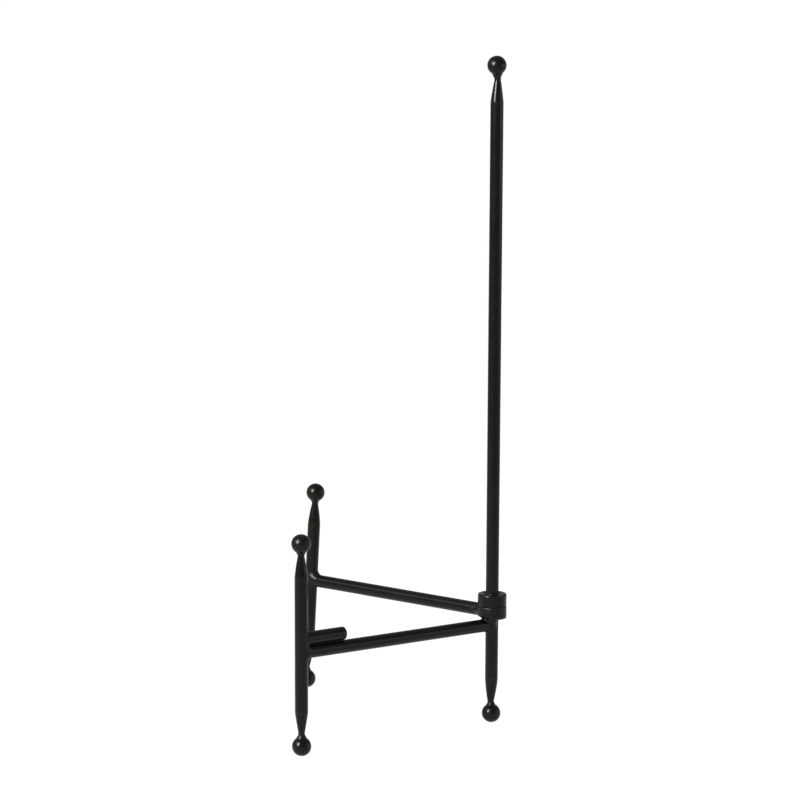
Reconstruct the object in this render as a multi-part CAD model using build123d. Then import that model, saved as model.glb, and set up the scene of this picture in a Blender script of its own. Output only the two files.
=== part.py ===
from build123d import *
import os
from math import radians, sqrt, tan

# Tabletop easel in black-painted round bar: a rear post, a right leg welded to it by a low arm, and a
# left leg on a higher arm that swings about the post on a collar.
# Millimetres and degrees. Z is up from the table, the post's axis is the Z axis, and the easel's open
# front faces -Y. Right and left are the viewer's, so the right leg is on the +X side.

# ---------------------------------------------------------------------------- driving dimensions
INCH = 25.4
ROD_R = 3 / 8 * INCH / 2            # one bar size is used throughout
BALL_R = 7.0
NECK_R = 2.4                        # the bar is turned down to this before each ball
NECK_END = 10.0                     # from the ball's centre to where the neck widens into the cone
CONE_END = 24.5                     # from the ball's centre to full bar size
MAST_CONE_END = 28.0                # the cone under the top ball is longer
CONE_BLEND_R = 22.0                 # rounding where a cone runs into the bar
SOCKET_DEPTH = 2.2                  # how far a neck's tip sits inside its ball
BALL_WELD = 0.9                     # size of the weld round each neck

POST_SPAN = 480.4                   # between the centres of the post's two balls
LEG_SPAN = 147.6                    # the same on each front leg
ARM_REACH = 170.75                  # from the post's axis to a front leg's axis, along an arm
ARM_RISE = 0.45                     # both arms climb a little towards the front
HALF_SPREAD = 36.4                  # each arm's angle from the easel's front centre line
LOW_ARM_Z = BALL_R + 67.3           # right arm's axis above the table, at the post
HIGH_ARM_Z = BALL_R + 77.2          # left arm's and rest peg's axis above the table, at the post
LEFT_LEG_LEAN = 3.3                 # the left leg's top leans towards the post
RIGHT_LEG_LEAN = -0.25              # the right leg's top leans a very little away from it
PEG_LENGTH = 37.0                   # from the right leg's axis to the peg's free end
PEG_ROUND = 1.2

COLLAR_R = 10.7
COLLAR_BASE_Z = BALL_R + 72.5
SWING_COLLAR_HEIGHT = 9.1
STOP_COLLAR_HEIGHT = 9.1
COLLAR_CHAMFER = 0.5
RUNNING_CLEARANCE = 0.06            # radial, between the swing collar's bore and the post
FACE_GAP = 0.3                      # between faces that turn past each other
GROUND_HEADING = -70                # where the swing collar's lower edge is ground back the most
GROUND_DEPTH = 2.6

ARM_WELD_SIDE = 0.35                # how far a weld between two bars swells beside them
WELD_LIP = 0.05                     # how proud a weld's thin edge stands of the bar it dies out on

COLLAR_TOP_Z = COLLAR_BASE_Z + SWING_COLLAR_HEIGHT
STOP_COLLAR_BASE_Z = COLLAR_TOP_Z + FACE_GAP
STOP_COLLAR_TOP_Z = STOP_COLLAR_BASE_Z + STOP_COLLAR_HEIGHT
RIGHT_HEADING = -90 + HALF_SPREAD
LEFT_HEADING = -90 - HALF_SPREAD

BOTTOM_ALIGN = (Align.CENTER, Align.CENTER, Align.MIN)
LONG = 400.0                        # longer than anything that a cutting tool has to pass through


# ---------------------------------------------------------------------------- placing
def arm_frame(heading, z):
    """Origin on the post's axis at height z, local X out along an arm."""
    return Pos(0, 0, z) * Rot(0, 0, heading) * Rot(0, -ARM_RISE, 0)


def leg_frame(heading, arm_z, lean=0.0):
    """Origin at a leg's foot ball, local Z up the leg. A lean tips its top towards the post, and the
    leg still crosses its arm at the arm's full reach."""
    crossing_height = arm_z + ARM_REACH * tan(radians(ARM_RISE)) - BALL_R
    foot_reach = ARM_REACH + crossing_height * tan(radians(lean))
    return Pos(0, 0, BALL_R) * Rot(0, 0, heading) * Pos(foot_reach, 0, 0) * Rot(0, -lean, 0)


def leg_in_arm_frame(lean, above=0.0):
    """The full-size bar of a leg, as a cutting tool in its arm's frame, or in the frame of a bar that
    lies a little above its arm."""
    crossing = ARM_REACH - above * tan(radians(lean))
    return Pos(crossing, 0, 0) * Rot(0, ARM_RISE - lean, 0) * Cylinder(ROD_R, LONG)


def bar_along_x(start, end):
    """A straight bar along local X."""
    return Pos(start, 0, 0) * Rot(0, 90, 0) * Cylinder(ROD_R, end - start, align=BOTTOM_ALIGN)


def level_band(low, high):
    """A wide slab between two heights."""
    return Pos(0, 0, low) * Box(LONG, LONG, high - low, align=BOTTOM_ALIGN)


def largest(shape):
    """The biggest solid of a cut."""
    return shape.solids().sort_by(SortBy.VOLUME)[-1]


# ---------------------------------------------------------------------------- uprights
def tapered_rod(span, low_cone_end, high_cone_end):
    """A bar between two balls, centred at 0 and span on Z, necked down at both ends."""
    tip = BALL_R - SOCKET_DEPTH
    outline = Polyline(
        (0, tip),
        (NECK_R, tip),
        (NECK_R, NECK_END),
        (ROD_R, low_cone_end),
        (ROD_R, span - high_cone_end),
        (NECK_R, span - NECK_END),
        (NECK_R, span - tip),
        (0, span - tip),
        close=True,
    )
    section = make_face(outline)
    cone_bases = [v for v in section.vertices() if abs(v.X - ROD_R) < 1e-6]
    section = fillet(cone_bases, CONE_BLEND_R)
    return revolve(Plane.XZ * section, Axis.Z)


def end_ball(neck_direction):
    """A ball at the origin with the shallow socket that its rod's neck sits in, up (+1) or down (-1)."""
    socket = Pos(0, 0, BALL_R - SOCKET_DEPTH) * Cylinder(NECK_R, BALL_R, align=BOTTOM_ALIGN)
    turned = Rot(0 if neck_direction > 0 else 180, 0, 0)
    return turned * (Sphere(BALL_R) - socket)


def neck_weld(neck_direction):
    """The small ring of weld where a neck enters its ball."""
    seat = sqrt(BALL_R**2 - NECK_R**2)
    ring = Cone(NECK_R + 2 * BALL_WELD, NECK_R + WELD_LIP, 2.2 * BALL_WELD, align=BOTTOM_ALIGN)
    bead = Pos(0, 0, seat - BALL_WELD) * ring
    bead = bead - Sphere(BALL_R) - Cylinder(NECK_R, LONG)
    turned = Rot(0 if neck_direction > 0 else 180, 0, 0)
    return turned * bead


def upright(name, rod_name, frame, span, top_cone_end=CONE_END):
    """An upright's five pieces: its rod, two balls and the two welds that hold them."""
    top = frame * Pos(0, 0, span)
    return {
        rod_name: frame * tapered_rod(span, CONE_END, top_cone_end),
        f"{name}_foot_ball": frame * end_ball(+1),
        f"{name}_top_ball": top * end_ball(-1),
        f"{name}_foot_ball_weld": frame * neck_weld(+1),
        f"{name}_top_ball_weld": top * neck_weld(-1),
    }


# ---------------------------------------------------------------------------- collars
def swing_collar():
    """The left arm's collar. Its lower edge is ground back on the side that faces the arms."""
    body = Cylinder(COLLAR_R, SWING_COLLAR_HEIGHT, align=BOTTOM_ALIGN)
    body = chamfer(body.edges().sort_by(Axis.Z)[-1], COLLAR_CHAMFER)
    low_r = COLLAR_R - GROUND_DEPTH / 2
    ground_edge = Cone(low_r, low_r + SWING_COLLAR_HEIGHT, SWING_COLLAR_HEIGHT, align=BOTTOM_ALIGN)
    body = body & (Rot(0, 0, GROUND_HEADING) * Pos(-GROUND_DEPTH / 2, 0, 0) * ground_edge)
    body = body - Cylinder(ROD_R + RUNNING_CLEARANCE, LONG)
    return Pos(0, 0, COLLAR_BASE_Z) * body


def stop_collar():
    """The fixed collar above, which keeps the swing collar down."""
    body = Cylinder(COLLAR_R, STOP_COLLAR_HEIGHT, align=BOTTOM_ALIGN)
    body = chamfer(body.edges().filter_by(GeomType.CIRCLE), COLLAR_CHAMFER)
    return Pos(0, 0, STOP_COLLAR_BASE_Z) * (body - Cylinder(ROD_R, LONG))


def stop_collar_weld():
    """The ring of weld between the stop collar's top face and the post."""
    width = 1.8
    height = 1.6
    ring = Cone(ROD_R + width, ROD_R + WELD_LIP, height, align=BOTTOM_ALIGN)
    return Pos(0, 0, STOP_COLLAR_TOP_Z) * (ring - Cylinder(ROD_R, LONG))


# ---------------------------------------------------------------------------- arms
def arm(wall_r, leg_lean):
    """An arm along local X, its ends cut to the round walls that it is welded to."""
    body = bar_along_x(0, ARM_REACH)
    wall = Rot(0, ARM_RISE, 0) * Cylinder(wall_r, LONG)
    return largest(body - wall - leg_in_arm_frame(leg_lean))


def rest_peg():
    """A short bar on the right leg, level with the left arm, pointing back at the post."""
    body = bar_along_x(ARM_REACH - PEG_LENGTH, ARM_REACH)
    body = chamfer(body.edges().sort_by(Axis.X)[0], PEG_ROUND)
    return body - leg_in_arm_frame(RIGHT_LEG_LEAN, HIGH_ARM_Z - LOW_ARM_Z)


# ---------------------------------------------------------------------------- arm welds
def flare(wall_r, size, side_size, start=1.0):
    """A weld's flare about a bar that leaves a round wall along local X: widest inside the wall, and
    dying out on the bar. size is its reach along the bar, and side_size its swell beside it."""
    end = wall_r + size
    across = Rot(0, 90, 0)
    root = Pos(start, 0, 0) * across * Ellipse(ROD_R + end - start, ROD_R + side_size)
    lip = Pos(end, 0, 0) * across * Circle(ROD_R + WELD_LIP)
    return loft([root, lip], ruled=True)


def leg_end_weld(size, low, high, leg_lean, above=0.0):
    """The weld where an arm or the peg meets a front leg, kept between two heights from its axis."""
    bead = Pos(ARM_REACH, 0, 0) * Rot(0, 0, 180) * flare(ROD_R, size, ARM_WELD_SIDE)
    bead = bead & level_band(low, high)
    return bead - leg_in_arm_frame(leg_lean, above) - bar_along_x(0, ARM_REACH)


def right_arm_rear_weld():
    """The weld where the low arm meets the post. It swells upwards under the swing collar's ground
    edge, off centre, most of it on the arm's side."""
    size = 3.0
    swell_r = 6.7
    swell_offset = 1.5
    swell_heading = -50
    swell_base = LOW_ARM_Z - 0.6
    ceiling = COLLAR_BASE_Z - FACE_GAP
    swell = loft([
        Pos(0, 0, swell_base) * Circle(ROD_R + WELD_LIP),
        Pos(0, 0, ceiling) * Rot(0, 0, swell_heading) * Pos(swell_offset, 0, 0) * Circle(swell_r),
    ], ruled=True)
    placed = arm_frame(RIGHT_HEADING, LOW_ARM_Z)
    bead = placed * flare(ROD_R, size, ARM_WELD_SIDE) & level_band(0, ceiling)
    return (bead + swell) - Cylinder(ROD_R, LONG) - placed * bar_along_x(0, ARM_REACH)


def left_arm_collar_weld():
    """The weld where the high arm meets the swing collar, no taller than the collar."""
    size = 2.6
    side_size = 2.2
    placed = arm_frame(LEFT_HEADING, HIGH_ARM_Z)
    bead = placed * flare(COLLAR_R, size, side_size, start=COLLAR_R - 4)
    bead = bead & level_band(COLLAR_BASE_Z, COLLAR_TOP_Z)
    return bead - Cylinder(COLLAR_R, LONG) - placed * bar_along_x(0, ARM_REACH)


# ---------------------------------------------------------------------------- assembly
def easel():
    """Every piece of the easel, by node name."""
    right_low = arm_frame(RIGHT_HEADING, LOW_ARM_Z)
    right_high = arm_frame(RIGHT_HEADING, HIGH_ARM_Z)
    left_high = arm_frame(LEFT_HEADING, HIGH_ARM_Z)
    step = HIGH_ARM_Z - LOW_ARM_Z
    right_leg = leg_frame(RIGHT_HEADING, LOW_ARM_Z, RIGHT_LEG_LEAN)
    left_leg = leg_frame(LEFT_HEADING, HIGH_ARM_Z, LEFT_LEG_LEAN)

    nodes = {}
    nodes.update(upright("post", "post_rod", Pos(0, 0, BALL_R), POST_SPAN, MAST_CONE_END))
    nodes.update(upright("right_leg", "right_leg_rod", right_leg, LEG_SPAN))
    nodes.update(upright("left_leg", "left_leg_rod", left_leg, LEG_SPAN))
    nodes["swing_collar"] = swing_collar()
    nodes["stop_collar"] = stop_collar()
    nodes["stop_collar_weld"] = stop_collar_weld()
    nodes["right_arm"] = right_low * arm(ROD_R, RIGHT_LEG_LEAN)
    nodes["left_arm"] = left_high * arm(COLLAR_R, LEFT_LEG_LEAN)
    nodes["rest_peg"] = right_high * rest_peg()
    nodes["right_arm_front_weld"] = right_low * leg_end_weld(3.6, -LONG / 2, step / 2, RIGHT_LEG_LEAN)
    nodes["rest_peg_weld"] = right_high * leg_end_weld(1.2, -step / 2, LONG / 2, RIGHT_LEG_LEAN, step)
    nodes["left_arm_front_weld"] = left_high * leg_end_weld(3.4, -LONG / 2, LONG / 2, LEFT_LEG_LEAN)
    nodes["right_arm_rear_weld"] = right_arm_rear_weld()
    nodes["left_arm_collar_weld"] = left_arm_collar_weld()
    return nodes


os.makedirs("parts", exist_ok=True)
for node_name, shape in easel().items():
    shape.label = node_name
    export_step(shape, f"parts/{node_name}.step")
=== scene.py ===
import bpy
import math
import numpy as np
from mathutils import Matrix, Vector


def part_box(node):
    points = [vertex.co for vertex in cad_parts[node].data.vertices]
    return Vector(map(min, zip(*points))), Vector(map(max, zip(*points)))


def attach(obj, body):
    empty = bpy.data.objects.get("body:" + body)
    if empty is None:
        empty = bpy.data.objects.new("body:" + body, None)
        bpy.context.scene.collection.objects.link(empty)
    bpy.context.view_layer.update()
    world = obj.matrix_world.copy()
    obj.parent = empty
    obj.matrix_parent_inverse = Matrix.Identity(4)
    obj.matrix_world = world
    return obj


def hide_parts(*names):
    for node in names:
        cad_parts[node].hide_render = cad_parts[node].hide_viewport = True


# Looks of the tabletop easel: black paint over round bar, forged balls and hand-finished welds.
# Shapes are worked out in millimetres in the row frame, and add_piece() turns them into metres.
# A piece replaces one or two CAD nodes, or is paint lying on them, and rides on their body.

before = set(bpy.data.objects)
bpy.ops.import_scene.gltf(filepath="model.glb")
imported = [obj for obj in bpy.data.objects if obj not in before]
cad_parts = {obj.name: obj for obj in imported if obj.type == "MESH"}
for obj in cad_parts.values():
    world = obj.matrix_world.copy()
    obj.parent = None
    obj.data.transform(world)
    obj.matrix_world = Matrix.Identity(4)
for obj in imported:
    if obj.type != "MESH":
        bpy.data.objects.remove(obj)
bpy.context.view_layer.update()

MM = 0.001
ROD_R = 4.7625
BALL_R = 7.0
NECK_R = 2.42
NECK_END = 10.4                     # from a ball's centre to where its neck starts to widen
CONE_END = 24.8                     # from a ball's centre to full bar size
SOCKET_DEPTH = 2.2
COLLAR_R = 10.69                    # a hair inside the CAD collars, to stay in their box
ARM_OVERLAP = 0.3                   # how far a bar's saddle-cut end sits inside the bar it meets
PEG_LENGTH = 37.0
GROUND_HEADING = -70.0              # the swing collar's lower edge is ground back on this side
GROUND_DEPTH = 2.6
GROUND_SLOPE = 1.5                  # how fast the ground edge widens upwards
FACE_GAP = 0.04                     # between the swing collar's underside and the weld below it
UNDER = 0.03                        # a weld's surface starts this far under the bars that it joins
WELD_WALL = 0.8                     # thickness of a weld piece inside the bars
WELD_CELL = 0.28                    # grid step of the weld surfaces
ROW_FRAME = np.array([[0, 0, 0], [1, 0, 0], [0, 1, 0], [0, 0, 1]], float)


# ---------------------------------------------------------------------------- where things are
def corners(node):
    """A CAD node's box at rest, in millimetres."""
    low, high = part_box(node)
    return np.array(low) / MM, np.array(high) / MM


def ball_centre(node, at_top):
    """A ball's centre. Its box is cut short only on the side of its neck, so the other side counts."""
    low, high = corners(node)
    z = high[2] - BALL_R if at_top else low[2] + BALL_R
    return np.array([(low[0] + high[0]) / 2, (low[1] + high[1]) / 2, z])


def unit(vector):
    vector = np.asarray(vector, float)
    return vector / np.linalg.norm(vector)


def basis(origin, along, side_hint):
    """A local frame as (origin, x, y, z) rows, with z along the piece and x near the hint."""
    z = unit(along)
    x = unit(np.asarray(side_hint, float) - np.dot(side_hint, z) * z)
    return np.array([origin, x, np.cross(z, x), z])


def to_world(local, points):
    return local[0] + points @ local[1:]


POST_FOOT = ball_centre("post_foot_ball", False)
POST_TOP = ball_centre("post_top_ball", True)
RIGHT_FOOT = ball_centre("right_leg_foot_ball", False)
RIGHT_TOP = ball_centre("right_leg_top_ball", True)
LEFT_FOOT = ball_centre("left_leg_foot_ball", False)
LEFT_TOP = ball_centre("left_leg_top_ball", True)
SWING_LOW, SWING_TOP = (corners("swing_collar")[i][2] for i in (0, 1))
STOP_LOW, STOP_TOP = (corners("stop_collar")[i][2] for i in (0, 1))


def arm_axis(node, leg_foot, leg_top):
    """An arm's axis: its point on the post's axis, and where it crosses its leg's axis. An arm climbs
    a little towards the front, so its box is lowest at the rear and highest at the front."""
    low, high = corners(node)
    rear_z = low[2] + ROD_R
    front_z = high[2] - ROD_R
    share = (front_z - leg_foot[2]) / (leg_top[2] - leg_foot[2])
    front = leg_foot + share * (leg_top - leg_foot)
    return np.array([0.0, 0.0, rear_z]), front


RIGHT_REAR, RIGHT_FRONT = arm_axis("right_arm", RIGHT_FOOT, RIGHT_TOP)
LEFT_REAR, LEFT_FRONT = arm_axis("left_arm", LEFT_FOOT, LEFT_TOP)
PEG_FRONT = RIGHT_FRONT + np.array([0.0, 0.0, corners("rest_peg")[1][2] - ROD_R - RIGHT_FRONT[2]])
PEG_REAR = PEG_FRONT + PEG_LENGTH * unit(RIGHT_REAR - RIGHT_FRONT)
LEFT_LEAN = math.degrees(math.atan2(
    np.linalg.norm((LEFT_FOOT - LEFT_TOP)[:2]),
    LEFT_TOP[2] - LEFT_FOOT[2],
))


# ---------------------------------------------------------------------------- surface irregularity
def lumps(points, seed, wavelength):
    """Smooth, repeatable unevenness of about -1 to 1 at each point."""
    count = 7
    draw = np.random.default_rng(seed)
    total = np.zeros(points.shape[:-1])
    for _ in range(count):
        wave = unit(draw.normal(size=3)) * 2 * math.pi / (wavelength * draw.uniform(0.6, 1.7))
        total += np.sin(points @ wave + draw.uniform(0, 2 * math.pi))
    return total / count * 1.6


def smooth_step(value):
    value = np.clip(value, 0.0, 1.0)
    return value * value * (3 - 2 * value)


# ---------------------------------------------------------------------------- meshes
def add_piece(name, nodes, body, points, faces, material, wear=None):
    """A mesh piece from points in millimetres. It replaces the CAD nodes, if any, and rides on the
    body. wear, from 0 to 1 at each point, is how much handling has rubbed the paint."""
    mesh = bpy.data.meshes.new(name)
    mesh.from_pydata((points * MM).tolist(), [], faces)
    mesh.validate()
    mesh.update()
    mesh.polygons.foreach_set("use_smooth", [True] * len(mesh.polygons))
    rubbed = mesh.attributes.new("wear", "FLOAT", "POINT")
    amounts = np.zeros(len(mesh.vertices)) if wear is None else np.asarray(wear, float)
    rubbed.data.foreach_set("value", amounts.astype(np.float32))
    mesh.materials.append(material)
    piece = bpy.data.objects.new(name, mesh)
    bpy.context.scene.collection.objects.link(piece)
    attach(piece, body)
    if nodes:
        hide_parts(*nodes)


def grid_faces(rows, around, closed_loop=False):
    """Quads of a grid that closes around, and also end to end where closed_loop is set."""
    faces = []
    last = rows if closed_loop else rows - 1
    for i in range(last):
        here = i * around
        above = ((i + 1) % rows) * around
        for j in range(around):
            k = (j + 1) % around
            faces.append((here + j, here + k, above + k, above + j))
    return faces


def round_corners(outline, radii):
    """An open outline of (height, radius) points with its inner corners rounded to the given radii."""
    steps = 8
    result = [outline[0]]
    for before, corner, after, radius in zip(outline, outline[1:], outline[2:], radii):
        corner = np.array(corner, float)
        to_before = np.array(before, float) - corner
        to_after = np.array(after, float) - corner
        turn = math.acos(np.clip(np.dot(unit(to_before), unit(to_after)), -1, 1))
        if radius == 0 or math.pi - turn < 1e-3:
            result.append(tuple(corner))
            continue
        shorter_side = min(np.linalg.norm(to_before), np.linalg.norm(to_after))
        reach = min(radius / math.tan(turn / 2), 0.49 * shorter_side)
        first = corner + unit(to_before) * reach
        last = corner + unit(to_after) * reach
        for step in range(steps + 1):
            t = step / steps
            result.append(tuple((1 - t) ** 2 * first + 2 * t * (1 - t) * corner + t * t * last))
    result.append(outline[-1])
    return result


def fill_in(outline, step):
    """The same outline with points added so that none are further apart than step."""
    result = [outline[0]]
    for start, end in zip(outline, outline[1:]):
        count = max(1, math.ceil(math.dist(start, end) / step))
        for i in range(1, count + 1):
            t = i / count
            result.append(((1 - t) * start[0] + t * end[0], (1 - t) * start[1] + t * end[1]))
    return result


def turned(outline, local, around=72, closed_loop=False, reshape=None):
    """A turned surface. The outline starts and ends on the axis, unless it is a closed loop. reshape
    changes the points (angle, height, radius arrays in, radius out) before they are placed."""
    heights = np.array([p[0] for p in outline])
    radii = np.array([p[1] for p in outline])
    if not closed_loop:
        heights, radii = heights[1:-1], radii[1:-1]
    angles = np.arange(around) * 2 * math.pi / around
    height, angle = np.meshgrid(heights, angles, indexing="ij")
    radius = np.repeat(radii[:, None], around, axis=1)
    if reshape is not None:
        radius = reshape(angle, height, radius)
    points = np.stack([radius * np.cos(angle), radius * np.sin(angle), height], -1).reshape(-1, 3)
    faces = grid_faces(len(heights), around, closed_loop)
    if not closed_loop:
        first = len(points)
        poles = np.array([[0, 0, outline[0][0]], [0, 0, outline[-1][0]]])
        points = np.vstack([points, poles])
        top = first - around
        for j in range(around):
            k = (j + 1) % around
            faces.append((first, k, j))
            faces.append((first + 1, top + j, top + k))
    return to_world(local, points), faces


# ---------------------------------------------------------------------------- rods and balls
def cone_radius(t, bulge):
    """Radius along a hand-turned cone: from the neck (0) to full size (1), a little barrelled."""
    t = np.clip(t, 0.0, 1.0)
    grown = t + bulge * t * (1 - t)
    return NECK_R + (ROD_R - NECK_R) * grown


def rod_outline(span, low_end, high_end):
    """Half section of an upright. Each end is (where its neck stops, where its cone stops, bulge)."""
    tip = BALL_R - SOCKET_DEPTH
    neck_run_out = 1.2
    steps = 16

    def end_points(neck_end, cone_end, bulge):
        shares = [i / steps for i in range(steps + 1)]
        run = cone_end - neck_end
        neck = [(tip, NECK_R), (neck_end - neck_run_out, NECK_R)]
        return neck + [(neck_end + run * t, float(cone_radius(t, bulge))) for t in shares]

    low = end_points(*low_end)
    high = [(span - z, r) for z, r in reversed(end_points(*high_end))]
    return fill_in([(tip, 0.0)] + low + high + [(span - tip, 0.0)], 2.5)


def add_rod(name, body, foot, top, low_end, high_end, seed, low_shift=(0, 0), high_shift=(0, 0)):
    """An upright's bar. The shifts move its necks a little off the bar's line, as hand work does."""
    span = np.linalg.norm(top - foot)
    local = basis(foot, top - foot, (1, 0, 0))
    outline = rod_outline(span, low_end, high_end)
    points, faces = turned(outline, ROW_FRAME)
    radial = np.hypot(points[:, 0], points[:, 1])
    uneven = 1 + 0.006 * lumps(points * [1, 1, 0.25], seed, 9.0)
    points[:, :2] *= uneven[:, None]
    near_foot = 1 - smooth_step((points[:, 2] - BALL_R) / (low_end[1] - BALL_R))
    near_top = 1 - smooth_step((span - BALL_R - points[:, 2]) / (high_end[1] - BALL_R))
    for axis in (0, 1):
        points[:, axis] += low_shift[axis] * near_foot + high_shift[axis] * near_top
    cone_base = np.exp(-((points[:, 2] - low_end[1]) / 1.2) ** 2)
    cone_base += np.exp(-((points[:, 2] - span + high_end[1]) / 1.2) ** 2)
    wear = 0.55 * cone_base * (radial > NECK_R)
    add_piece(f"{name}_visual", [name], body, to_world(local, points), faces, paint_bar, wear)


def add_ball(name, body, centre, rod_direction, seed):
    """A forged ball with a shallow flat where its neck is seated."""
    steps = 56
    seat = math.asin(NECK_R * 0.9 / BALL_R)
    seat_z = BALL_R * math.cos(seat)
    outline = []
    for i in range(steps + 1):
        angle = math.pi * i / steps
        outline.append((-BALL_R * math.cos(angle), BALL_R * math.sin(angle)))
    outline = [p for p in outline if p[0] < seat_z]
    outline += [(seat_z, BALL_R * math.sin(seat)), (seat_z, 0.0)]
    outline[0] = (-BALL_R, 0.0)
    local = basis(centre, rod_direction, (1, 0, 0))
    points, faces = turned(outline, ROW_FRAME, 84)
    dents = 0.035 * (lumps(points, seed, 8.0) - 1)
    points *= (1 + dents / BALL_R)[:, None]
    foot_rub = np.exp(-((points[:, 2] + BALL_R) / 0.9) ** 2)
    add_piece(f"{name}_visual", [name], body, to_world(local, points), faces, paint_ball, 0.9 * foot_rub)


def add_neck_weld(name, body, centre, rod_direction, seed, size):
    """The small ring of weld between a ball and its neck, wider in places."""
    seat = math.sqrt(BALL_R ** 2 - (NECK_R + size) ** 2)
    end = BALL_R + size * 1.2
    sunk = seat - 0.7
    inner = NECK_R - 0.5
    steps = 9
    loop = []
    for i in range(steps + 1):
        t = i / steps
        along = seat + (end - seat) * (1 - (1 - t) ** 1.7)
        out = NECK_R + size * (1 - t) ** 2 + 0.02
        loop.append((along, out))
    loop += [(end, inner), (sunk, inner), (sunk, NECK_R + size - 0.4)]

    def uneven(angle, height, radius):
        proud = np.clip(radius - NECK_R, 0, None)
        wobble = 1 + 0.10 * np.sin(angle * 2 + seed) + 0.04 * np.sin(angle * 5 + 2 * seed)
        return np.where(radius > NECK_R, NECK_R + proud * wobble, radius)

    local = basis(centre, rod_direction, (1, 0, 0))
    points, faces = turned(loop, local, 60, closed_loop=True, reshape=uneven)
    add_piece(f"{name}_visual", [name], body, points, faces, paint_weld)


def add_upright(name, rod_name, body, foot, top, seed, low_end, high_end, welds,
                low_shift=(0, 0), high_shift=(0, 0), ball_shift=(0, 0)):
    """An upright's bar, balls and neck welds. The weld sizes are (foot, top), low_shift and high_shift
    move the bar's necks sideways, and ball_shift moves the top ball."""
    add_rod(rod_name, body, foot, top, low_end, high_end, seed, low_shift, high_shift)
    up = top - foot
    shifts = (low_shift, high_shift, ball_shift)
    low_aside, high_aside, ball_aside = (np.array([x, y, 0.0]) for x, y in shifts)
    add_ball(f"{name}_foot_ball", body, foot, up, seed + 1)
    add_ball(f"{name}_top_ball", body, top + ball_aside, -up, seed + 2)
    low_weld = foot + low_aside / 2
    high_weld = top + (high_aside + ball_aside) / 2
    add_neck_weld(f"{name}_foot_ball_weld", body, low_weld, up, seed + 3, welds[0])
    add_neck_weld(f"{name}_top_ball_weld", body, high_weld, -up, seed + 4, welds[1])


# ---------------------------------------------------------------------------- collars
def ground_rim(angle):
    """Radius of the swing collar's lower edge: full size at the back, ground away at the front left."""
    toward = angle - math.radians(GROUND_HEADING)
    centre = -GROUND_DEPTH / 2
    rim = COLLAR_R - GROUND_DEPTH / 2
    return centre * np.cos(toward) + np.sqrt(rim ** 2 - (centre * np.sin(toward)) ** 2)


def collar_loop(low, high, bore, low_round, high_round):
    """Half section of a collar as a closed loop: its outside, rounded at both edges, and its bore."""
    ease = 0.25
    outline = [
        (low, (bore + COLLAR_R) / 2), (low, COLLAR_R), (high, COLLAR_R),
        (high, bore), (low, bore), (low, (bore + COLLAR_R) / 2),
    ]
    rounded = round_corners(outline, [low_round, high_round, ease, ease])
    return fill_in(rounded, 0.8)[:-1]


def add_collars():
    """The swing collar and, on top, the fixed stop collar."""
    middle = (SWING_LOW + SWING_TOP) / 2
    soft = 0.9                          # width over which the ground edge is rounded off
    ground_inside = COLLAR_R - 3.6      # grinding and filing leave the bore and what is near it alone
    filed_inside = COLLAR_R - 2.5
    filed_heading = math.radians(343.0)
    filed_spread = 0.30
    filed_depth = 0.4
    filed_height = 4.5

    def turned_marks(angle, height, radius):
        """The faint unevenness of a hand-turned side. It never stands out past the radius given."""
        slow = 0.0012 * np.sin(angle * 2 + height)
        fast = 0.0008 * np.sin(angle * 5 + 2 * height)
        return radius * (0.998 + slow + fast)

    def ground_back(angle, height, radius):
        """The lower edge cut back by a cone that sits off centre, and the upper edge filed in front."""
        reach = ground_rim(angle) + GROUND_SLOPE * (height - SWING_LOW)
        gap = np.clip(1 - np.abs(radius - reach) / soft, 0, None)
        cut = np.minimum(radius, reach) - gap ** 2 * soft / 4
        lower = (radius > ground_inside) & (height < middle)
        off_filed = (angle - filed_heading + math.pi) % (2 * math.pi) - math.pi
        upwards = np.clip((height - SWING_TOP + filed_height) / filed_height, 0, 1)
        filed = filed_depth * np.exp(-((off_filed / filed_spread) ** 2)) * upwards ** 2
        upper = (radius > filed_inside) & (height >= middle)
        return np.where(lower, cut, np.where(upper, radius - filed, radius))

    stop = collar_loop(STOP_LOW, STOP_TOP, ROD_R - 0.2, low_round=0.55, high_round=1.5)
    points, faces = turned(stop, ROW_FRAME, 120, closed_loop=True, reshape=turned_marks)
    out = np.hypot(points[:, 0], points[:, 1])
    wear = np.exp(-((out - COLLAR_R + 0.25) ** 2 + (points[:, 2] - STOP_TOP + 0.25) ** 2) / 0.3)
    add_piece("stop_collar_visual", ["stop_collar"], "post_frame", points, faces, paint_bar, wear)

    swing = collar_loop(SWING_LOW, SWING_TOP, ROD_R + 0.06, low_round=0.1, high_round=0.8)
    points, faces = turned(swing, ROW_FRAME, 120, closed_loop=True, reshape=ground_back)
    out = np.hypot(points[:, 0], points[:, 1])
    wear = np.exp(-((out - COLLAR_R + 0.2) ** 2 + (points[:, 2] - SWING_TOP + 0.2) ** 2) / 0.3)
    # A hand-finished collar is as rough as the welds.
    add_piece("swing_collar_visual", ["swing_collar"], "swing_leg", points, faces, paint_weld, wear)


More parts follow.
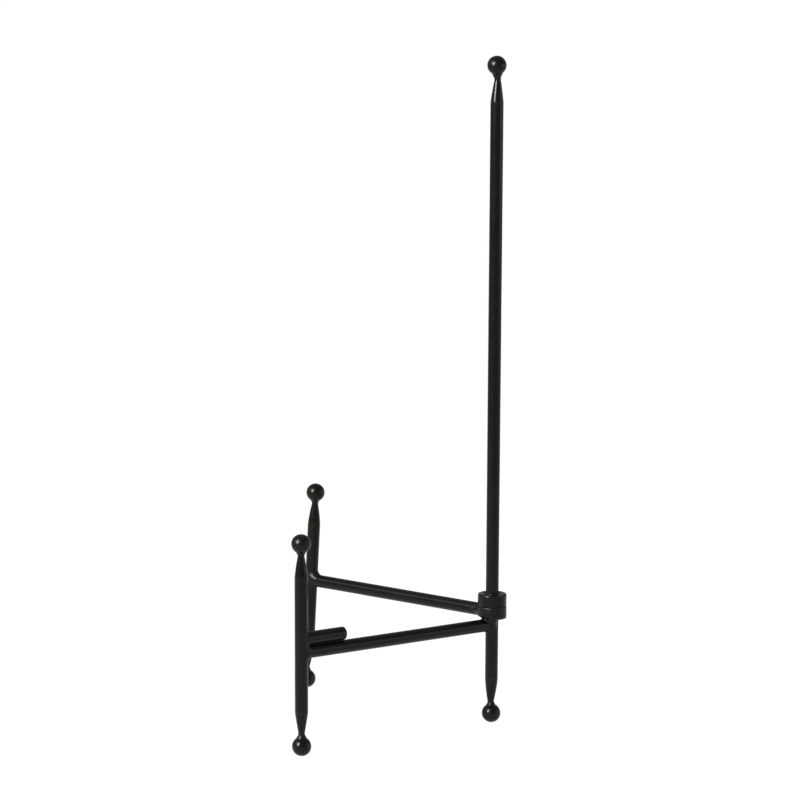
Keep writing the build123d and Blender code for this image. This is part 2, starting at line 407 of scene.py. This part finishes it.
def add_stop_collar_weld():
    """The weld bead round the post on top of the stop collar, uneven round its length."""
    width = 1.9
    tall = 1.7
    sunk = STOP_TOP - 0.5
    inner = ROD_R - 0.5
    steps = 8
    loop = []
    for i in range(steps + 1):
        t = i / steps
        up = STOP_TOP + tall * (1 - (1 - t) ** 1.5)
        out = ROD_R + width * (1 - t) ** 1.6 + 0.02
        loop.append((up, out))
    loop += [(STOP_TOP + tall, inner), (sunk, inner), (sunk, ROD_R + width - 0.3)]

    def uneven(angle, height, radius):
        proud = np.clip(radius - ROD_R, 0, None)
        wobble = 1 + 0.10 * np.sin(angle * 3 + 0.6) + 0.04 * np.sin(angle * 8 + 1.9)
        return np.where(radius > ROD_R, ROD_R + proud * wobble, radius)

    points, faces = turned(loop, ROW_FRAME, 120, closed_loop=True, reshape=uneven)
    add_piece("stop_collar_weld_visual", ["stop_collar_weld"], "post_frame", points, faces, paint_weld)


# ---------------------------------------------------------------------------- arms and peg
def add_bar(name, body, start, end, start_wall, end_wall, seed, end_lean=0.0, round_start=0.0):
    """A bar between two round walls. Its ends are saddle-cut to the walls (radius, or None for a free
    end, which may be rounded), and end_lean tips the end wall's axis along the bar."""
    length = np.linalg.norm(end - start)
    local = basis(start, end - start, (0, 0, 1))
    around = 72
    rings = 9
    spacing = 2.0
    round_steps = 6
    angles = np.arange(around) * 2 * math.pi / around

    def wall_reach(wall, lean, x, y):
        """How far a wall reaches along the bar from its own axis, at each point of the section."""
        if wall is None:
            return 0.0 * x
        saddle = np.sqrt(np.clip(wall ** 2 - y ** 2, 0, None))
        return saddle - ARM_OVERLAP + x * math.tan(math.radians(lean))

    def ring(radius, share):
        """A ring of points across the bar, at a share of the way between its two cut ends."""
        x = radius * np.cos(angles)
        y = radius * np.sin(angles)
        low = wall_reach(start_wall, 0.0, x, y)
        high = length - wall_reach(end_wall, end_lean, x, y)
        return np.stack([x, y, low + (high - low) * share], -1)

    layers = []
    flat = ROD_R - round_start
    for i in range(1, rings):
        layers.append(ring(flat * i / rings, 0.0))
    if round_start:
        for i in range(round_steps + 1):
            turn = i / round_steps * math.pi / 2
            layer = ring(flat + round_start * math.sin(turn), 0.0)
            layer[:, 2] += round_start * (1 - math.cos(turn))
            layers.append(layer)
    else:
        layers.append(ring(ROD_R, 0.0))
    first_share = round_start / length
    count = max(4, round(length / spacing))
    for i in range(1, count):
        layers.append(ring(ROD_R, first_share + (1 - first_share) * i / count))
    for i in range(rings, 0, -1):
        layers.append(ring(ROD_R * i / rings, 1.0))
    points = np.concatenate(layers)
    uneven = 1 + 0.006 * lumps(points * [1, 1, 0.25], seed, 9.0)
    points[:, :2] *= uneven[:, None]
    faces = grid_faces(len(layers), around)
    poles = np.stack([ring(0.0, 0.0)[0], ring(0.0, 1.0)[0]])
    first = len(points)
    points = np.vstack([points, poles])
    top = first - around
    for j in range(around):
        k = (j + 1) % around
        faces.append((first, k, j))
        faces.append((first + 1, top + j, top + k))
    along_top = smooth_step((points[:, 0] - 0.8 * ROD_R) / (0.2 * ROD_R))
    wear = 0.35 * along_top
    if round_start:
        rim = np.hypot(points[:, 0], points[:, 1])
        wear = wear + 0.8 * np.exp(-((rim - ROD_R + 0.5) ** 2 + (points[:, 2] - 0.4) ** 2) / 0.6)
    wear = np.clip(wear, 0, 1)
    add_piece(f"{name}_visual", [name], body, to_world(local, points), faces, paint_bar, wear)


# ---------------------------------------------------------------------------- welds between bars
def bar_distance(points, start, end, radius):
    """Distance from an endless round bar's surface, negative inside."""
    along = unit(end - start)
    offset = points - start
    across = offset - (offset @ along)[..., None] * along
    return np.linalg.norm(across, axis=-1) - radius


def half_bar_distance(points, start, end, radius):
    """The same for a bar whose round end is just inside the wall that it leaves, so that no fillet
    shows on the wall's far side."""
    along = unit(end - start)
    offset = points - start - along * ROD_R
    share = np.clip(offset @ along, 0, None)
    return np.linalg.norm(offset - share[..., None] * along, axis=-1) - radius


def filleted(first, second, size):
    """Union of two shapes with a hollow fillet of the given radius between them."""
    inner = np.hypot(np.clip(size - first, 0, None), np.clip(size - second, 0, None))
    return np.maximum(size, np.minimum(first, second)) - inner


def weld_shell(first, second, size):
    """The fillet between two shapes as a solid of its own, hollow where the bars are."""
    joined = filleted(first, second, size)
    hollow = -(np.minimum(first, second) + WELD_WALL)
    reach = np.abs(first - second) - (size + 0.5)
    return np.maximum(np.maximum(joined, hollow), reach)


def surface_of(field, low, high, cell):
    """Points and quads of the surface where field is zero, inside a box."""
    axes = [np.arange(a, b + cell, cell) for a, b in zip(low, high)]
    grid = np.stack(np.meshgrid(*axes, indexing="ij"), -1)
    value = field(grid)
    inside = value < 0
    shape = [n - 1 for n in inside.shape]

    def corner(array, i, j, k):
        return array[i:i + shape[0], j:j + shape[1], k:k + shape[2]]

    cube = [(i, j, k) for i in (0, 1) for j in (0, 1) for k in (0, 1)]
    count = sum(corner(inside, *c).astype(int) for c in cube)
    mixed = (count > 0) & (count < 8)
    total = np.zeros(shape + [3])
    crossings = np.zeros(shape)
    for a in cube:
        for axis in range(3):
            if a[axis]:
                continue
            b = tuple(c + (n == axis) for n, c in enumerate(a))
            value_a, value_b = corner(value, *a), corner(value, *b)
            crosses = mixed & ((value_a < 0) != (value_b < 0))
            share = np.where(crosses, value_a / np.where(crosses, value_a - value_b, 1), 0)
            offset = np.stack([np.full(shape, float(c)) for c in a], -1)
            offset[..., axis] += share
            total += np.where(crosses[..., None], offset, 0)
            crossings += crosses
    cells = np.argwhere(mixed)
    points = np.array(low) + cell * (cells + total[mixed] / crossings[mixed][:, None])
    for _ in range(3):
        here = field(points)
        slope = np.stack([
            (field(points + step) - field(points - step)) / (2 * np.linalg.norm(step))
            for step in np.eye(3) * cell * 0.05
        ], -1)
        move = (here / np.clip((slope ** 2).sum(-1), 0.3, None))[:, None] * slope
        points = points - np.clip(move, -0.25 * cell, 0.25 * cell)
    number = np.full(shape, -1)
    number[mixed] = np.arange(len(cells))
    faces = []
    for axis in range(3):
        u, v = (axis + 1) % 3, (axis + 2) % 3
        start = [slice(None)] * 3
        end = [slice(None)] * 3
        start[axis], end[axis] = slice(0, -1), slice(1, None)
        for rising in (True, False):
            edges = inside[tuple(start)] & ~inside[tuple(end)] if rising else \
                ~inside[tuple(start)] & inside[tuple(end)]
            where = np.argwhere(edges)
            where = where[(where[:, u] > 0) & (where[:, v] > 0)]
            where = where[(where[:, u] < shape[u]) & (where[:, v] < shape[v])]
            quad = []
            for du, dv in ((-1, -1), (0, -1), (0, 0), (-1, 0)):
                at = where.copy()
                at[:, u] += du
                at[:, v] += dv
                quad.append(number[at[:, 0], at[:, 1], at[:, 2]])
            quad = np.stack(quad, -1)
            faces.append(quad if rising else quad[:, ::-1])
    return points, np.concatenate(faces).tolist()


def add_weld(name, nodes, body, field, centre, reach):
    """A weld piece from its field, in a box round a centre."""
    low = centre - np.array(reach)
    high = centre + np.array(reach)
    points, faces = surface_of(field, low, high, WELD_CELL)
    add_piece(name, nodes, body, points, faces, paint_weld)


def add_right_leg_weld():
    """The right leg with its arm and, just above, the rest peg: one run of weld round both, which gets
    smaller upwards."""
    middle = (RIGHT_FRONT[2] + PEG_FRONT[2]) / 2
    size_low = 3.3
    size_lost = 2.1

    def field(p):
        leg = bar_distance(p, RIGHT_FOOT, RIGHT_TOP, ROD_R - UNDER)
        low_bar = half_bar_distance(p, RIGHT_FRONT, RIGHT_REAR, ROD_R - UNDER)
        peg = half_bar_distance(p, PEG_FRONT, PEG_REAR, ROD_R - UNDER)
        rough = 0.16 * lumps(p, 31, 5.0)
        size = size_low - size_lost * smooth_step((p[..., 2] - middle + 1.0) / 5.0) + rough
        bars = np.minimum(low_bar, peg)
        between = filleted(low_bar, peg, 1.0)
        near_leg = smooth_step((leg - 3.0) / 1.5)
        bars = bars * near_leg + between * (1 - near_leg)
        return weld_shell(leg, bars, size)

    centre = (RIGHT_FRONT + PEG_FRONT) / 2
    add_weld("right_leg_weld_visual", ["right_arm_front_weld", "rest_peg_weld"], "post_frame",
             field, centre, (10.5, 10.5, 14.0))


def add_peg_seam():
    """Paint that has filled the narrow groove where the rest peg lies on the right arm."""
    fillet = 1.3
    skin = 0.4                          # thickness of the paint inside the bars
    width = 1.6
    way = unit(PEG_REAR - PEG_FRONT)
    middle = (RIGHT_FRONT + PEG_FRONT) / 2

    def field(p):
        arm = bar_distance(p, RIGHT_FRONT, RIGHT_REAR, ROD_R - UNDER)
        peg = bar_distance(p, PEG_FRONT, PEG_REAR, ROD_R - UNDER)
        joined = filleted(arm, peg, fillet + 0.12 * lumps(p, 77, 6.0))
        wall = -(np.minimum(arm, peg) + skin)
        reach = np.abs(arm - peg) - width
        along = (p - middle) @ way
        ends = np.maximum(ROD_R + 0.5 - along, along - PEG_LENGTH + 1.6)
        return np.maximum.reduce([joined, wall, reach, ends])

    centre = middle + way * PEG_LENGTH / 2
    half = np.abs(way) * PEG_LENGTH / 2 + 2.5
    add_weld("peg_seam", [], "post_frame", field, centre, (half[0], half[1], 2.4))


def add_left_leg_weld():
    """The left leg with its arm. The fillet is much larger above the arm than below it."""
    size_low = 1.7
    size_gained = 2.7

    def field(p):
        leg = bar_distance(p, LEFT_FOOT, LEFT_TOP, ROD_R - UNDER)
        bar = half_bar_distance(p, LEFT_FRONT, LEFT_REAR, ROD_R - UNDER)
        upwards = smooth_step((p[..., 2] - LEFT_FRONT[2] + 2.0) / 6.0)
        size = size_low + size_gained * upwards + 0.4 * lumps(p, 57, 3.6)
        return weld_shell(leg, bar, size)

    add_weld("left_arm_front_weld_visual", ["left_arm_front_weld"], "swing_leg",
             field, LEFT_FRONT, (11.5, 11.5, 12.0))


def add_right_rear_weld():
    """The right arm's weld to the post. It swells up to just under the swing collar, and there it is
    flush with the collar's ground edge."""
    ceiling = SWING_LOW - FACE_GAP
    floor_z = RIGHT_REAR[2] - 4.0       # where the swell starts
    span_middle = math.radians(-48.0)   # the swell covers this side of the post and fades out beside it
    span_half = math.radians(62.0)
    span_fade = math.radians(40.0)

    def field(p):
        post = bar_distance(p, POST_FOOT, POST_TOP, ROD_R - UNDER)
        bar = half_bar_distance(p, RIGHT_REAR, RIGHT_FRONT, ROD_R - UNDER)
        angle = np.arctan2(p[..., 1], p[..., 0])
        off_middle = np.abs((angle - span_middle + math.pi) % (2 * math.pi) - math.pi)
        covered = 1 - smooth_step((off_middle - span_half) / span_fade)
        share = np.clip((p[..., 2] - floor_z) / (ceiling - floor_z), 0, 1.05)
        proud = (ground_rim(angle) - ROD_R) * covered * share ** 1.5
        out = np.linalg.norm(p[..., :2], axis=-1)
        swell = (out - (ROD_R - UNDER + proud)) * 0.6
        swell = np.maximum(swell, floor_z - p[..., 2])
        size = 3.0 + 0.15 * lumps(p, 71, 5.0)
        joined = filleted(filleted(post, bar, size), swell, 0.02 + 1.6 * covered * share)
        hollow = -(np.minimum(post, bar) + WELD_WALL)
        beside_arm = np.abs(post - bar) - (size + 0.5)
        under_collar = 3 * (0.05 - covered * share)
        reach = np.minimum(beside_arm, under_collar)
        return np.maximum.reduce([joined, hollow, reach, p[..., 2] - ceiling])

    centre = np.array([2.0, -3.0, RIGHT_REAR[2]])
    add_weld("right_arm_rear_weld_visual", ["right_arm_rear_weld"], "post_frame",
             field, centre, (12.0, 12.0, 11.0))


def add_left_collar_weld():
    """The left arm's weld to the swing collar, between the collar's two faces and ground back with it."""
    size_middle = 5.2
    size_lost = 3.9

    def field(p):
        out = np.linalg.norm(p[..., :2], axis=-1)
        rim = ground_rim(np.arctan2(p[..., 1], p[..., 0])) + GROUND_SLOPE * (p[..., 2] - SWING_LOW)
        cone = (out - rim) / math.hypot(1, GROUND_SLOPE)
        collar = out - COLLAR_R + UNDER
        bar = half_bar_distance(p, LEFT_REAR, LEFT_FRONT, ROD_R - UNDER)
        from_middle = np.clip(np.abs(p[..., 2] - LEFT_REAR[2]) / ROD_R, 0, 1)
        size = size_middle - size_lost * from_middle ** 2 + 0.2 * lumps(p, 91, 5.0)
        bead = np.maximum(filleted(collar, bar, size), cone)
        joined = filleted(bead, bar, 0.9)
        hollow = -(np.minimum(np.maximum(collar, cone), bar) + WELD_WALL)
        reach = np.abs(collar - bar) - (size + 0.5)
        caps = np.maximum(SWING_LOW - p[..., 2], p[..., 2] - SWING_TOP + 0.35)
        return np.maximum.reduce([joined, hollow, reach, caps])

    way = unit(LEFT_FRONT - LEFT_REAR)
    centre = LEFT_REAR + way * (COLLAR_R + 0.5)
    add_weld("left_arm_collar_weld_visual", ["left_arm_collar_weld"], "swing_leg",
             field, centre, (10.5, 10.5, 8.0))


def add_paint_run():
    """A run of paint down the post below the arm's weld, ending in a bead."""
    heading = math.radians(-30.0)
    way = np.array([math.cos(heading), math.sin(heading), 0.0])
    side = np.array([-way[1], way[0], 0.0])
    bead_z = 54.6
    run_length = 15.0
    steps = 40
    around = 20
    points = []
    for i in range(steps + 1):
        t = i / steps
        z = bead_z - 0.7 + run_length * t
        bead = math.exp(-((z - bead_z) / 0.55) ** 2)
        closed_ends = math.sqrt(max(0.0, 1 - (2 * t - 1) ** 20))
        width = (0.34 + 0.38 * bead) * closed_ends
        depth = 0.36 * min(1.0, width / 0.3)
        proud = 0.10 * (1 - t) + 0.34 * bead
        centre = way * (ROD_R - 0.32 + proud) + np.array([0, 0, z])
        for j in range(around):
            a = 2 * math.pi * j / around
            points.append(centre + side * width * math.cos(a) + way * depth * math.sin(a))
    faces = grid_faces(steps + 1, around)
    faces.append(tuple(reversed(range(around))))
    faces.append(tuple(range(steps * around, (steps + 1) * around)))
    add_piece("paint_run", [], "post_frame", np.array(points), faces, paint_weld)


# ---------------------------------------------------------------------------- materials
def black_paint(name, roughness, peel_scale, peel_depth, lump_scale, lump_depth, dust):
    """Satin black paint. Its colour drifts from warm to neutral black, it has orange peel and broader
    lumps, a little dust in the paint, and edges where handling has polished and thinned it. The two
    scales are noise waves per metre, and the two depths are metres."""
    warm_black = (0.0024, 0.0020, 0.0011)
    neutral_black = (0.0013, 0.0012, 0.0009)
    dust_colour = (0.035, 0.033, 0.029)
    thinned_colour = (0.021, 0.018, 0.015)
    material = bpy.data.materials.new(name)
    material.use_nodes = True
    nodes = material.node_tree.nodes
    links = material.node_tree.links
    shader = nodes["Principled BSDF"]
    shader.inputs["Specular IOR Level"].default_value = 0.20
    shader.inputs["Specular Tint"].default_value = (1.0, 0.975, 0.93, 1.0)
    shader.inputs["IOR"].default_value = 1.5
    place = nodes.new("ShaderNodeTexCoord").outputs["Object"]

    def noise(scale, detail, rough=0.5):
        node = nodes.new("ShaderNodeTexNoise")
        node.inputs["Scale"].default_value = scale
        node.inputs["Detail"].default_value = detail
        node.inputs["Roughness"].default_value = rough
        links.new(place, node.inputs["Vector"])
        return node.outputs["Fac"]

    def spread(value, from_low, from_high, to_low, to_high):
        node = nodes.new("ShaderNodeMapRange")
        node.inputs["From Min"].default_value = from_low
        node.inputs["From Max"].default_value = from_high
        node.inputs["To Min"].default_value = to_low
        node.inputs["To Max"].default_value = to_high
        links.new(value, node.inputs["Value"])
        return node.outputs["Result"]

    def times(first, second):
        node = nodes.new("ShaderNodeMath")
        node.operation = "MULTIPLY"
        for source, socket in ((first, node.inputs[0]), (second, node.inputs[1])):
            links.new(source, socket)
        return node.outputs[0]

    def mixed(factor, first, second):
        node = nodes.new("ShaderNodeMix")
        node.data_type = "RGBA"
        links.new(factor, node.inputs["Factor"])
        for source, socket in ((first, node.inputs["A"]), (second, node.inputs["B"])):
            if isinstance(source, tuple):
                socket.default_value = (*source, 1.0)
            else:
                links.new(source, socket)
        return node.outputs["Result"]

    drift = spread(noise(45.0, 3.0), 0.35, 0.65, 0.0, 1.0)
    body_colour = mixed(drift, warm_black, neutral_black)
    specks = spread(noise(2600.0, 1.0), 0.70, 0.76, 0.0, dust)
    dusty = mixed(specks, body_colour, dust_colour)
    rubbed = nodes.new("ShaderNodeAttribute")
    rubbed.attribute_name = "wear"
    patchy = times(rubbed.outputs["Fac"], spread(noise(700.0, 4.0, 0.65), 0.42, 0.68, 0.0, 1.0))
    links.new(mixed(patchy, dusty, thinned_colour), shader.inputs["Base Color"])

    sheen_patches = spread(noise(120.0, 4.0), 0.3, 0.7, roughness - 0.05, roughness + 0.06)
    polished = nodes.new("ShaderNodeMath")
    polished.operation = "SUBTRACT"
    links.new(sheen_patches, polished.inputs[0])
    links.new(spread(patchy, 0.0, 1.0, 0.0, 0.10), polished.inputs[1])
    links.new(polished.outputs[0], shader.inputs["Roughness"])

    def bump(height, depth):
        node = nodes.new("ShaderNodeBump")
        node.inputs["Distance"].default_value = depth
        node.inputs["Strength"].default_value = 1.0
        links.new(height, node.inputs["Height"])
        return node

    peel = bump(noise(peel_scale, 2.0), peel_depth)
    broad = bump(noise(lump_scale, 3.0), lump_depth)
    links.new(peel.outputs["Normal"], broad.inputs["Normal"])
    links.new(broad.outputs["Normal"], shader.inputs["Normal"])
    return material


paint_bar = black_paint("black_paint_bar", roughness=0.22, peel_scale=1500.0, peel_depth=0.0000025,
                        lump_scale=170.0, lump_depth=0.00003, dust=0.3)
paint_ball = black_paint("black_paint_ball", roughness=0.26, peel_scale=1300.0, peel_depth=0.0000025,
                         lump_scale=160.0, lump_depth=0.000012, dust=0.25)
paint_weld = black_paint("black_paint_weld", roughness=0.37, peel_scale=1100.0, peel_depth=0.000012,
                         lump_scale=420.0, lump_depth=0.00012, dust=0.3)


# ---------------------------------------------------------------------------- stage, light and camera
def add_floor():
    """A wide plain pale floor. Looked at directly it is an even white, and the paint mirrors a dimmer
    floor that the lamps shade."""
    side = 40.0
    corner_points = [(-side, -side, 0), (side, -side, 0), (side, side, 0), (-side, side, 0)]
    mesh = bpy.data.meshes.new("floor")
    mesh.from_pydata(corner_points, [], [(0, 1, 2, 3)])
    floor = bpy.data.objects.new("floor", mesh)
    bpy.context.scene.collection.objects.link(floor)
    material = bpy.data.materials.new("pale_floor")
    material.use_nodes = True
    nodes = material.node_tree.nodes
    links = material.node_tree.links

    def matt(albedo, glow):
        """A matt surface that also glows a little by itself."""
        shader = nodes.new("ShaderNodeBsdfPrincipled")
        shader.inputs["Base Color"].default_value = (albedo, albedo, albedo, 1)
        shader.inputs["Roughness"].default_value = 1.0
        shader.inputs["Specular IOR Level"].default_value = 0.0
        shader.inputs["Emission Color"].default_value = (1, 1, 1, 1)
        shader.inputs["Emission Strength"].default_value = glow
        return shader.outputs[0]

    looked_at = nodes.new("ShaderNodeLightPath").outputs["Is Camera Ray"]
    either = nodes.new("ShaderNodeMixShader")
    links.new(looked_at, either.inputs[0])
    links.new(matt(0.45, 0.30), either.inputs[1])
    links.new(matt(0.045, 0.984), either.inputs[2])
    links.new(either.outputs[0], nodes["Material Output"].inputs["Surface"])
    mesh.materials.append(material)


def add_world():
    """A pale surround. The paint mirrors a dimmer one than the camera sees."""
    world = bpy.data.worlds.new("studio")
    bpy.context.scene.world = world
    world.use_nodes = True
    nodes = world.node_tree.nodes
    links = world.node_tree.links
    background = nodes["Background"]
    background.inputs["Color"].default_value = (1, 1, 1, 1)
    looked_at = nodes.new("ShaderNodeLightPath").outputs["Is Camera Ray"]
    strength = nodes.new("ShaderNodeMapRange")
    strength.inputs["To Min"].default_value = 0.36
    strength.inputs["To Max"].default_value = 1.0
    links.new(looked_at, strength.inputs["Value"])
    links.new(strength.outputs["Result"], background.inputs["Strength"])


def add_light(name, direction, distance, width, height, watts, target=(0.0, -0.06, 0.2), spread=180.0):
    """A soft light panel that shines at the easel from a direction."""
    data = bpy.data.lights.new(name, "AREA")
    data.shape = "RECTANGLE"
    data.size = width
    data.size_y = height
    data.energy = watts
    data.spread = math.radians(spread)
    light = bpy.data.objects.new(name, data)
    bpy.context.scene.collection.objects.link(light)
    way = Vector(direction).normalized()
    light.location = Vector(target) + way * distance
    light.rotation_euler = way.to_track_quat("Z", "Y").to_euler()


def add_camera():
    """The camera on the right, a little above the easel, in metres, degrees and millimetres of lens."""
    place = Vector((2.4423, -0.04865, 0.6283))
    azimuth, pitch, roll = (math.radians(a) for a in (90.478, 8.983, 0.308))
    forward = Vector((
        -math.sin(azimuth) * math.cos(pitch),
        math.cos(azimuth) * math.cos(pitch),
        -math.sin(pitch),
    ))
    level_right = Vector((math.cos(azimuth), math.sin(azimuth), 0))
    level_up = level_right.cross(forward)
    right = level_right * math.cos(roll) + level_up * math.sin(roll)
    up = level_up * math.cos(roll) - level_right * math.sin(roll)
    data = bpy.data.cameras.new("camera")
    data.lens = 151.665
    data.sensor_width = 36.0
    data.clip_start = 0.05
    data.clip_end = 200.0
    camera = bpy.data.objects.new("camera", data)
    bpy.context.scene.collection.objects.link(camera)
    camera.matrix_world = Matrix((
        (right.x, up.x, -forward.x, place.x),
        (right.y, up.y, -forward.y, place.y),
        (right.z, up.z, -forward.z, place.z),
        (0, 0, 0, 1),
    ))
    bpy.context.scene.camera = camera


# ---------------------------------------------------------------------------- build
add_upright("post", "post_rod", "post_frame", POST_FOOT, POST_TOP, seed=11,
            low_end=(9.4, 26.2, 0.45), high_end=(10.8, 26.8, 0.22), welds=(1.2, 1.8),
            low_shift=(0.0, -0.4), high_shift=(-0.3, 0.35), ball_shift=(0.0, -0.3))
add_upright("right_leg", "right_leg_rod", "post_frame", RIGHT_FOOT, RIGHT_TOP, seed=21,
            low_end=(NECK_END, CONE_END, 0.1), high_end=(9.0, CONE_END, 0.35), welds=(1.4, 1.2))
add_upright("left_leg", "left_leg_rod", "swing_leg", LEFT_FOOT, LEFT_TOP, seed=41,
            low_end=(NECK_END, CONE_END, 0.1), high_end=(9.0, CONE_END, 0.40), welds=(1.2, 1.0),
            low_shift=(0.0, -0.4))
add_collars()
add_stop_collar_weld()
add_bar("right_arm", "post_frame", RIGHT_REAR, RIGHT_FRONT, ROD_R, ROD_R, seed=61)
# The left arm ends flush with its collar, because its top edge is higher than the stop collar's foot.
add_bar("left_arm", "swing_leg", LEFT_REAR, LEFT_FRONT, COLLAR_R + ARM_OVERLAP, ROD_R, seed=62,
        end_lean=LEFT_LEAN)
add_bar("rest_peg", "post_frame", PEG_REAR, PEG_FRONT, None, ROD_R, seed=63, round_start=1.2)
add_right_leg_weld()
add_peg_seam()
add_left_leg_weld()
add_right_rear_weld()
add_left_collar_weld()
add_paint_run()

add_floor()
add_world()
add_light("key_light", direction=(1.30, -1.32, 0.83), distance=2.03, width=0.70, height=1.05, watts=19.0,
          target=(0.0, -0.06, 0.45), spread=69.0)
add_light("left_panel", direction=(0.13, -0.84, 0.53), distance=1.8, width=1.1, height=0.7, watts=3.6)
add_light("right_panel", direction=(0.10, 0.98, 0.16), distance=2.2, width=2.4, height=0.9, watts=7.5)
add_camera()
bpy.context.scene.view_settings.view_transform = "Standard"
